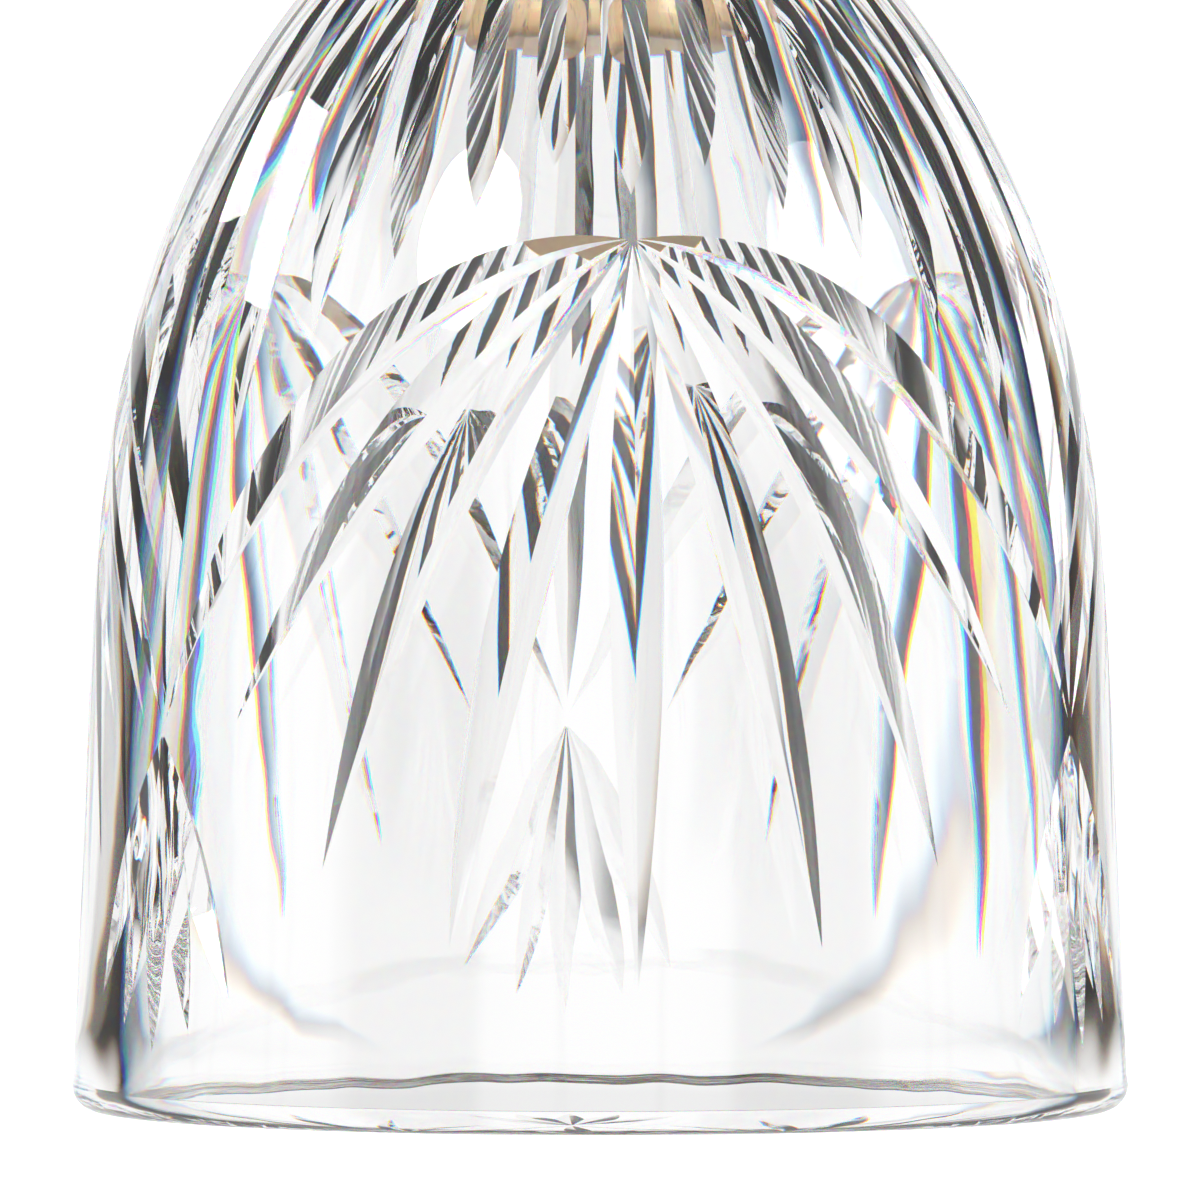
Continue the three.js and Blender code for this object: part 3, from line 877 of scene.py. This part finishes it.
# %% Cork, ferrule and grip
def ferrule():
    bottom, top = heights("neck_ferrule")
    foot = FERRULE_FOOT / 2
    waist = bottom + FERRULE_FOOT
    cove = (FERRULE_RADIUS - FERRULE_TOP_RADIUS) * 0.9
    floor = bottom + FERRULE_FLOOR
    recess = TENON_RADIUS + TENON_CLEARANCE
    neck = [(FERRULE_TOP_RADIUS, waist + cove + (top - waist - cove) * i / 24) for i in range(1, 25)]
    outline = [
        (plain_hole, bottom),
        (FERRULE_RADIUS - 0.3 * MM, bottom),
        *arc(FERRULE_RADIUS - foot, bottom + foot, foot, -60, 90, 14),
        *arc(FERRULE_TOP_RADIUS + cove, waist + cove, cove, -90, -180, 14),
        *scribed(neck, [top - 1.1 * MM, top - 1.9 * MM], 0.15 * MM, 0.2 * MM),
        (recess, top),
        (recess, floor),
        (plain_hole, floor),
    ]
    return turned("ferrule", softened(outline, METAL_EDGE), FINE_SIDES)


def grip():
    bottom, top = heights("handle_grip")
    seat = heights("neck_ferrule")[1]
    length = top - seat
    belly = seat + 0.36 * length
    side = smooth([
        (GRIP_FOOT_RADIUS, seat),
        (GRIP_BELLY_RADIUS, belly),
        ((GRIP_BELLY_RADIUS + GRIP_WAIST_RADIUS) / 2, seat + 0.7 * length),
        (GRIP_WAIST_RADIUS, top),
    ], 132)
    lined = scribed(side, [belly - 0.8 * MM, belly + 0.8 * MM, top - 2.2 * MM])
    outline = [(plain_hole, bottom), (TENON_RADIUS, bottom), (TENON_RADIUS, seat), *lined, (plain_hole, top)]
    return turned("grip", softened(outline, WOOD_EDGE), FINE_SIDES)


neck_cork = washer("neck_cork", "neck_washer", NECK_RADIUS - CORK_INSET, CORK_EDGE)
dress(neck_cork, cork, "neck_washer")
dress(ferrule(), brass, "neck_ferrule")
dress(grip(), beech, "handle_grip")

# %% Bead, knob, washer and cap nut
def bead():
    bottom, top = heights("grip_ring")
    half = (top - bottom) / 2
    side = arc(COLLAR_RADIUS, bottom + half, half, -90, 90, 24)
    return turned_ring("bead", side, plain_hole, bottom, FINE_EDGE)


def knob():
    bottom, top = heights("grip_knob")
    widest = bottom + 0.56 * (top - bottom)
    side = smooth([(KNOB_SEAT_RADIUS, bottom), (KNOB_RADIUS, widest), (KNOB_SEAT_RADIUS, top)], 96)
    lined = scribed(side, [widest])
    return turned_ring("knob", lined, plain_hole, bottom, WOOD_EDGE, FINE_SIDES)


def cap_nut():
    bottom, top = heights("finial_nut")
    thread_end = top - FINIAL_CROWN
    skirt = bottom + FINIAL_SKIRT
    turns = [math.radians(5 * i) for i in range(18)]
    wall = [(FINIAL_RADIUS, bottom + FINIAL_SKIRT * i / 12) for i in range(1, 12)]
    dome = [(FINIAL_RADIUS * math.cos(t), skirt + (top - skirt) * math.sin(t)) for t in turns]
    outline = [
        (0, thread_end),
        (thread_hole, thread_end),
        (thread_hole, bottom),
        (FINIAL_RADIUS, bottom),
        *scribed(wall, [skirt - 0.4 * MM], 0.12 * MM),
        *dome,
        (0, top),
    ]
    return turned("cap_nut", softened(outline, METAL_EDGE, closed=False))


knob_washer = washer("knob_washer", "finial_washer", FINIAL_WASHER_RADIUS, METAL_EDGE)
dress(bead(), brass, "grip_ring")
dress(knob(), beech, "grip_knob")
dress(knob_washer, brass, "finial_washer")
dress(cap_nut(), brass, "finial_nut")

# %% [markdown]
# ## Under the crown
#
# The rod is drawn up by a nut inside the hollow neck. A cork washer, a brass plate and a split spring
# washer share the load, so that no metal bears on the glass, and a nylon bush keeps the rod off the bore.

# %% Bush, washers and plate
INNER_WASHER_GAP = 0.2 * MM
INNER_PLATE_GAP = 0.7 * MM
SPRING_WASHER_RADIUS = 3.6 * MM
SPRING_WASHER_SLIT = 0.9 * MM
hollow_radius = NECK_RADIUS - WALL


def split_washer():
    """One turn of square wire, cut through, whose ends are a little sprung apart."""
    bottom, top = heights("spring_washer")
    half_slit = math.asin(SPRING_WASHER_SLIT / 2 / SPRING_WASHER_RADIUS)
    steps = 96
    spring = 0.12 * MM
    section = softened([
        (plain_hole, 0),
        (SPRING_WASHER_RADIUS, 0),
        (SPRING_WASHER_RADIUS, top - bottom - spring),
        (plain_hole, top - bottom - spring),
    ], FINE_EDGE)
    count = len(section)
    points = []
    for i in range(steps + 1):
        t = half_slit + (2 * math.pi - 2 * half_slit) * i / steps
        lift = bottom + spring * i / steps
        points += [(r * math.cos(t), r * math.sin(t), z + lift) for r, z in section]
    ends = [tuple(range(count)), tuple(steps * count + k for k in reversed(range(count)))]
    return new_piece("split_washer", points, ends + skin(steps + 1, count, closed=False))


bush = washer("bush", "bore_bush", plain_hole + BUSH_WALL, FINE_EDGE)
dress(bush, nylon, "bore_bush")
crown_radius = hollow_radius - NECK_EDGE - INNER_WASHER_GAP
crown_cork = washer("crown_cork", "inner_washer", crown_radius, CORK_EDGE)
dress(crown_cork, cork, "inner_washer")
plate = washer("crown_plate", "inner_plate", hollow_radius - INNER_PLATE_GAP, METAL_EDGE)
dress(plate, brass, "inner_plate")
dress(split_washer(), steel, "spring_washer")

# %% [markdown]
# ## The nut
#
# A hexagon nut is a hexagonal bar with both faces chamfered by a cone. Going round it in small steps,
# each step is the same section: hole, flat, chamfer, side. Only the side's distance changes, as one over
# a cosine.

# %% A chamfered hexagon nut
NUT_ACROSS_FLATS = 7 * MM
NUT_CHAMFER = math.radians(28)
NUT_COUNTERSINK = 0.3 * MM


def hexagon_nut():
    bottom, top = heights("rod_nut")
    flat = NUT_ACROSS_FLATS / 2
    face = 0.94 * flat
    sides = 144
    points = []
    for k in range(sides):
        t = 2 * math.pi * k / sides
        off = (t + math.pi / 6) % (math.pi / 3) - math.pi / 6
        reach = flat / math.cos(math.pi / 6 - abs(off))
        drop = (reach - face) * math.tan(NUT_CHAMFER)
        section = [
            (thread_hole, bottom + NUT_COUNTERSINK),
            (thread_hole + NUT_COUNTERSINK, bottom),
            (face, bottom),
            (reach, bottom + drop),
            (reach, top - drop),
            (face, top),
            (thread_hole + NUT_COUNTERSINK, top),
            (thread_hole, top - NUT_COUNTERSINK),
        ]
        points += [(r * math.cos(t), r * math.sin(t), z) for r, z in section]
    return new_piece("hexagon_nut", points, skin(sides, len(section)))


dress(hexagon_nut(), brass, "rod_nut")

# %% [markdown]
# ## The rod
#
# One steel rod holds the bell together. Its thread is a helix: round the rod the radius rises and falls
# with the height plus the share of a turn, so moving the vertices of a finely turned rod by that rule
# cuts the thread. Below the nut it is forged to a flat eye.

# %% A threaded rod with an eye
THREAD_PITCH = 0.7 * MM
THREAD_DEPTH = 0.28 * MM
THREAD_LENGTH = 9 * MM
ROD_TIP = 0.3 * MM
ROWS_PER_PITCH = 8
ROD_TAIL = 0.7 * MM
EYE_THICKNESS = 1.6 * MM
EYE_HOLE_RADIUS = 1.15 * MM
EYE_DROP = 3.1 * MM
nut_bottom = heights("rod_nut")[0]
eye_height = nut_bottom - EYE_DROP


def rod_shank():
    bottom, top = nut_bottom - ROD_TAIL, heights("tie_rod")[1]
    rows = round(THREAD_LENGTH / THREAD_PITCH * ROWS_PER_PITCH)
    start = bottom + ROD_TIP
    thread = [(ROD_RADIUS, start + THREAD_LENGTH * i / rows) for i in range(rows + 1)]
    tip = [(ROD_RADIUS, top - ROD_TIP), (ROD_RADIUS - ROD_TIP, top), (0, top)]
    outline = [(0, bottom), (ROD_RADIUS - ROD_TIP, bottom), *thread, *tip]
    shank = turned("rod", outline, 64)
    for vertex in shank.data.vertices:
        point = vertex.co
        if not start <= point.z <= start + THREAD_LENGTH:
            continue
        turn = math.atan2(point.y, point.x) / (2 * math.pi)
        phase = (point.z / THREAD_PITCH - turn) % 1
        fade = min(1.0, (start + THREAD_LENGTH - point.z) / THREAD_PITCH)
        cut = THREAD_DEPTH * fade * abs(2 * phase - 1)
        share = 1 - cut / ROD_RADIUS
        point.x *= share
        point.y *= share
    return shank


def rod_eye():
    """A flat bar with a round end and a hole through it along X."""
    half_width = ROD_RADIUS - 0.02 * MM
    top = nut_bottom - ROD_TAIL + 0.5 * MM
    edge = 0.22 * MM
    steps = 96
    points = []
    for k in range(steps):
        t = 2 * math.pi * k / steps
        across, up = math.cos(t), math.sin(t)
        reach = half_width if up <= 0 else min(half_width / max(abs(across), 1e-9), (top - eye_height) / up)
        bar = softened([
            (EYE_HOLE_RADIUS, -EYE_THICKNESS / 2),
            (reach, -EYE_THICKNESS / 2),
            (reach, EYE_THICKNESS / 2),
            (EYE_HOLE_RADIUS, EYE_THICKNESS / 2),
        ], edge)
        points += [(x, r * across, eye_height + r * up) for r, x in bar]
    return new_piece("rod eye", points, skin(steps, len(bar), inward=True))


def outward(piece):
    """Turns a closed piece's faces outwards if they point in."""
    shape = bmesh.new()
    shape.from_mesh(piece.data)
    bmesh.ops.recalc_face_normals(shape, faces=shape.faces)
    volume = shape.calc_volume(signed=True)
    if volume < 0:
        bmesh.ops.reverse_faces(shape, faces=shape.faces)
    loose = sum(not edge.is_manifold for edge in shape.edges)
    shape.to_mesh(piece.data)
    shape.free()
    print(f"{piece.name}: {abs(volume) / MM ** 3:.0f} cubic mm, {loose} open edges")
    return piece


def joined(piece, other):
    """Joins two closed pieces into one body."""
    union = piece.modifiers.new("join", "BOOLEAN")
    union.operation = "UNION"
    union.solver = "MANIFOLD"
    union.object = other
    settled(piece)
    bpy.data.meshes.remove(other.data)
    return outward(piece)


rod = joined(outward(rod_shank()), outward(rod_eye()))
dress(rod, steel, "tie_rod")

# %% [markdown]
# ## The clapper
#
# A brass ring hangs in the rod's eye, and the clapper's screw eye hangs in the ring, so that the head can
# swing any way. The head is beech, with a flat face below and a rounded edge that strikes the glass
# without chipping it.

# %% Ring, screw eye, washer and head
RING_WIRE = 0.6 * MM
RING_RADIUS = 2.4 * MM
SCREW_EYE_WIRE = 0.6 * MM
SCREW_EYE_RADIUS = 1.9 * MM
LINK_PLAY = 0.15 * MM
SHANK_RADIUS = 0.9 * MM
SHANK_LENGTH = 6 * MM
SHANK_POINT = 0.8 * MM
CAP_RADIUS = 2.6 * MM
CAP_EDGE = 0.12 * MM
HEAD_TOP_RADIUS = 3 * MM
HEAD_RADIUS = 9.8 * MM
HEAD_WIDEST = 1.9 * MM
HEAD_EDGE = 0.9 * MM
HOLE_END_GAP = 0.4 * MM


def wire_ring(name, radius, wire, height, along_y):
    """A ring of round wire that stands upright in the XZ plane, or in the YZ plane."""
    around, section = 128, 32
    points = []
    for i in range(around):
        t = 2 * math.pi * i / around
        for k in range(section):
            s = 2 * math.pi * k / section
            reach = radius + wire * math.cos(s)
            side, out, up = wire * math.sin(s), reach * math.cos(t), reach * math.sin(t)
            points.append((side, out, height + up) if along_y else (out, side, height + up))
    return outward(new_piece(name, points, skin(around, section)))


ring_centre = eye_height - RING_RADIUS
pivot = ring_centre - RING_RADIUS + RING_WIRE + LINK_PLAY + SCREW_EYE_WIRE
screw_eye_centre = pivot - SCREW_EYE_RADIUS
head_bottom, head_top = heights("clapper_bob")


def screw_eye():
    end = head_top - SHANK_LENGTH
    top = screw_eye_centre - SCREW_EYE_RADIUS
    shank = turned("screw eye shank", [
        (0, end),
        (SHANK_RADIUS, end + SHANK_POINT),
        (SHANK_RADIUS, top),
        (0, top),
    ], 48)
    eye = wire_ring("screw_eye", SCREW_EYE_RADIUS, SCREW_EYE_WIRE, screw_eye_centre, along_y=True)
    return joined(eye, outward(shank))


def clapper_head():
    widest = head_bottom + HEAD_WIDEST
    rise = head_top - widest
    shoulder = smooth([
        (HEAD_RADIUS, widest),
        (HEAD_RADIUS * 0.9, widest + 0.36 * rise),
        ((HEAD_RADIUS + HEAD_TOP_RADIUS) / 2.1, widest + 0.72 * rise),
        (HEAD_TOP_RADIUS, head_top),
    ], 72)
    hole = SHANK_RADIUS + THREAD_GAP
    hole_end = head_top - SHANK_LENGTH - HOLE_END_GAP
    outline = [
        (0, head_bottom),
        *arc(HEAD_RADIUS - HEAD_EDGE, head_bottom + HEAD_EDGE, HEAD_EDGE, -90, 0, 12),
        *scribed(shoulder, [widest + 0.5 * rise], 0.18 * MM, 0.24 * MM),
        (hole, head_top),
        (hole, hole_end),
        (0, hole_end),
    ]
    return turned("clapper_head", softened(outline, 0.15 * MM, closed=False), 160)


swing_ring = wire_ring("swing_ring", RING_RADIUS, RING_WIRE, ring_centre, along_y=False)
dress(swing_ring, brass, "hanger_ring", "ring")
dress(screw_eye(), brass, "clapper_eye", "clapper")
cap = washer("clapper_cap", "clapper_washer", CAP_RADIUS, CAP_EDGE, SHANK_RADIUS + THREAD_GAP)
dress(cap, brass, "clapper_washer", "clapper")
dress(clapper_head(), brightened_beech, "clapper_bob", "clapper")

# %% [markdown]
# ## The studio
#
# Clear glass has no colour of its own: it is drawn by what is round it. It shows best against white,
# with dark cards at the sides, so that every bent ray that misses the white shows as a grey or a dark
# line. Here the world is that studio: a white window in the middle of each of the four sides, with two
# thin grey bars in it, dark in the corners and above the windows, and a soft box straight overhead. For
# the rays that the glass bends, the floor glows: bright near the bell, and farther out a painted reflection
# of the windows, as a polished table would show them, with a painted shadow, a faint shade, under the bell.
# Both look plain white. The windows are turned two degrees, halfway to the camera.

# %% How bright the studio is in each direction
WINDOW_LIGHT = 1.0
CARD_LIGHT = 0.045
BACKDROP_LIGHT = 1.2
SIDE_LIGHT = [
    (0, 1.0), (10, 1.0), (11.5, 0.6), (13, 1.0), (21, 0.95),
    (27, 0.85), (30, 0.1), (35, CARD_LIGHT), (45, CARD_LIGHT),
]
SIDE_HALF = 45
WINDOW_TURN = math.radians(2)


def window_group():
    """Takes a point or a direction, and gives the light from the side that it lies on."""
    tree = bpy.data.node_groups.new("windows", "ShaderNodeTree")
    tree.interface.new_socket("Towards", in_out="INPUT", socket_type="NodeSocketVector")
    tree.interface.new_socket("Light", in_out="OUTPUT", socket_type="NodeSocketFloat")
    given = add(tree, "NodeGroupInput").outputs
    parts = add(tree, "ShaderNodeSeparateXYZ", {0: given["Towards"]}).outputs
    azimuth = math_node(tree, "ARCTAN2", parts["X"], parts["Y"])
    from_view = math_node(tree, "SUBTRACT", azimuth, WINDOW_TURN)
    folded = math_node(tree, "PINGPONG", from_view, math.radians(SIDE_HALF))
    share = math_node(tree, "DIVIDE", folded, math.radians(SIDE_HALF))
    light = ink(tree, share, [(angle / SIDE_HALF, (level, level, level)) for angle, level in SIDE_LIGHT])
    add(tree, "NodeGroupOutput", {"Light": light})
    return tree


windows = window_group()
print("light by degrees from a side's middle:", SIDE_LIGHT)

# %% The world
WINDOW_TOP = math.radians(36)
SOFTBOX_EDGE = math.radians(68)
EDGE_BLUR = math.radians(4)


def studio_world():
    world = bpy.data.worlds.new("studio")
    scene.world = world
    world.use_nodes = True
    tree = world.node_tree
    tree.nodes.clear()
    direction = add(tree, "ShaderNodeTexCoord").outputs["Generated"]
    sides = add(tree, "ShaderNodeGroup", {0: direction}, node_tree=windows)
    up = add(tree, "ShaderNodeSeparateXYZ", {0: direction}).outputs["Z"]
    height = math_node(tree, "ARCSINE", up)
    below = ramp(tree, height, WINDOW_TOP - EDGE_BLUR, WINDOW_TOP + EDGE_BLUR, 1.0, 0.0)
    softbox = ramp(tree, height, SOFTBOX_EDGE - EDGE_BLUR, SOFTBOX_EDGE + EDGE_BLUR, CARD_LIGHT, WINDOW_LIGHT)
    low_light = math_node(tree, "MULTIPLY", sides.outputs[0], below)
    light = math_node(tree, "MAXIMUM", low_light, softbox)
    seen = add(tree, "ShaderNodeLightPath").outputs["Is Camera Ray"]
    shown = add(tree, "ShaderNodeMix", {0: seen, 2: light, 3: BACKDROP_LIGHT}, data_type="FLOAT").outputs[0]
    background = add(tree, "ShaderNodeBackground", {"Color": (1, 1, 1, 1), "Strength": shown})
    add(tree, "ShaderNodeOutputWorld", {"Surface": background.outputs[0]})
    return world


studio_world()
print("the windows end", round(math.degrees(WINDOW_TOP)), "degrees up")

# %% Floor, lights and camera
FLOOR_HALF = 4.0
# Where the floor's glow for bent rays is bright near the bell and where, farther out, only the painted
# reflection of the windows is left.
NEAR_FLOOR = 0.08
FAR_FLOOR = 0.25
# A painted shadow under the bell: the floor's glow is dimmed from here inwards.
SHADE_START = 20 * MM
SHADE_END = 60 * MM
SHADE_LIGHT = 0.85
PAPER = (0.8, 0.8, 0.8, 1)
PAPER_GLOW = 0.8


def pale_floor():
    half = FLOOR_HALF
    corners = [(-half, -half, 0), (half, -half, 0), (half, half, 0), (-half, half, 0)]
    floor = new_piece("floor", corners, [(0, 1, 2, 3)])
    material, tree = new_material("pale floor")
    place = own_place(tree)
    # Seen through the glass, the floor glows: bright near the bell and, farther out, in the windows' pattern,
    # a painted reflection.
    sides = add(tree, "ShaderNodeGroup", {0: place}, node_tree=windows)
    away = add(tree, "ShaderNodeVectorMath", {0: place}, operation="LENGTH").outputs["Value"]
    near = ramp(tree, away, NEAR_FLOOR, FAR_FLOOR, WINDOW_LIGHT, CARD_LIGHT)
    painted_floor_light = math_node(tree, "MAXIMUM", near, sides.outputs[0])
    # Painted shadow: the glow is dimmed under the bell.
    under = ramp(tree, away, SHADE_START, SHADE_END, SHADE_LIGHT, 1.0)
    light = math_node(tree, "MULTIPLY", painted_floor_light, under)
    bent = add(tree, "ShaderNodeEmission", {"Color": (1, 1, 1, 1), "Strength": light}).outputs[0]
    paper = add(tree, "ShaderNodeBsdfDiffuse", {"Color": PAPER}).outputs[0]
    glow = add(tree, "ShaderNodeEmission", {"Color": (1, 1, 1, 1), "Strength": PAPER_GLOW}).outputs[0]
    shown = add(tree, "ShaderNodeAddShader", {0: paper, 1: glow}).outputs[0]
    seen = add(tree, "ShaderNodeLightPath").outputs["Is Camera Ray"]
    add(tree, "ShaderNodeOutputMaterial", {"Surface": mixed(tree, seen, bent, shown)})
    floor.data.materials.append(material)
    return floor


LAMP_AIM = 80 * MM


def soft_light(name, place, size, power):
    lamp = bpy.data.lights.new(name, "AREA")
    lamp.shape = "DISK"
    lamp.size = size
    lamp.energy = power
    holder = linked(name, lamp)
    holder.location = place
    aim = Vector((0, 0, LAMP_AIM)) - Vector(place)
    holder.rotation_euler = aim.to_track_quat("-Z", "Y").to_euler()
    holder.visible_transmission = False
    holder.visible_camera = False
    return holder


VIEW_TURN = math.radians(4)
CAMERA_DISTANCE = 0.7
CAMERA_HEIGHT = 36.4 * MM
CAMERA_LENS = 293
GLASS_BOUNCES = 64


def front_camera():
    camera = bpy.data.cameras.new("front")
    camera.lens = CAMERA_LENS
    camera.sensor_width = 36
    camera.clip_start = 0.01
    holder = linked("front", camera)
    across = -CAMERA_DISTANCE * math.sin(VIEW_TURN)
    back = -CAMERA_DISTANCE * math.cos(VIEW_TURN)
    holder.location = (across, back, CAMERA_HEIGHT)
    holder.rotation_euler = (math.pi / 2, 0, -VIEW_TURN)
    bpy.context.scene.camera = holder
    return holder


pale_floor()
soft_light("key", (-0.45, -0.5, 0.6), 0.35, 6)
soft_light("fill", (0.6, -0.3, 0.4), 0.5, 3)
front_camera()
scene.view_settings.view_transform = "Standard"
for kind in ("max", "transmission", "transparent_max", "glossy"):
    setattr(scene.cycles, f"{kind}_bounces", GLASS_BOUNCES)
scene.cycles.diffuse_bounces = 3
scene.cycles.caustics_refractive = False
scene.cycles.caustics_reflective = False
print("camera", [round(v, 4) for v in scene.camera.location])
